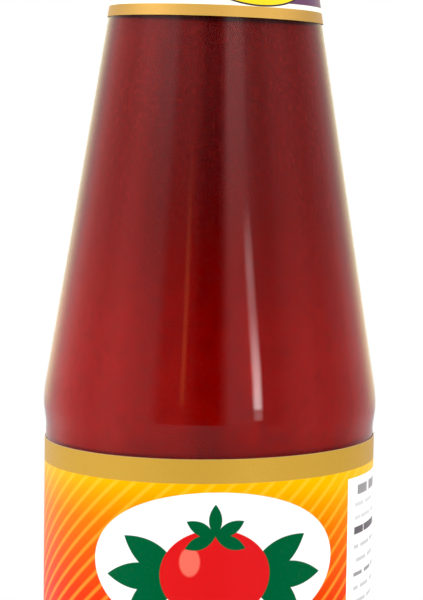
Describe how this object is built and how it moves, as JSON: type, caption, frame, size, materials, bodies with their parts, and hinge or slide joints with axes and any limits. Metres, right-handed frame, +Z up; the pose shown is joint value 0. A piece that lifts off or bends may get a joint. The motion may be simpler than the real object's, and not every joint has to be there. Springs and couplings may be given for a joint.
{
  "type": "ketchup bottle",
  "caption": "Full round glass sauce bottle with a long tapered shoulder, recessed label panel, paper body and neck labels, and a ribbed plastic screw cap.",
  "frame": {"origin": "centre of the base, on the surface that the bottle stands on", "axes": "+Z up along the bottle's axis, -Y out of the front of the labels, +X to the right as seen from the front"},
  "size_m": [0.0584, 0.0584, 0.211],
  "materials": {
    "glass": "clear polished flint glass",
    "ketchup": "dark red smooth sauce, wet against the glass",
    "body_label_paper": "coated label paper, yellow to orange print with gold bands",
    "neck_label_paper": "coated label paper, purple print with cream and gold bands",
    "cap_plastic": "white moulded plastic"
  },
  "bodies": {
    "root": {"glass_bottle": "glass", "ketchup": "ketchup", "body_label": "body_label_paper", "neck_label": "neck_label_paper", "screw_cap": "cap_plastic"}
  },
  "joints": []
}
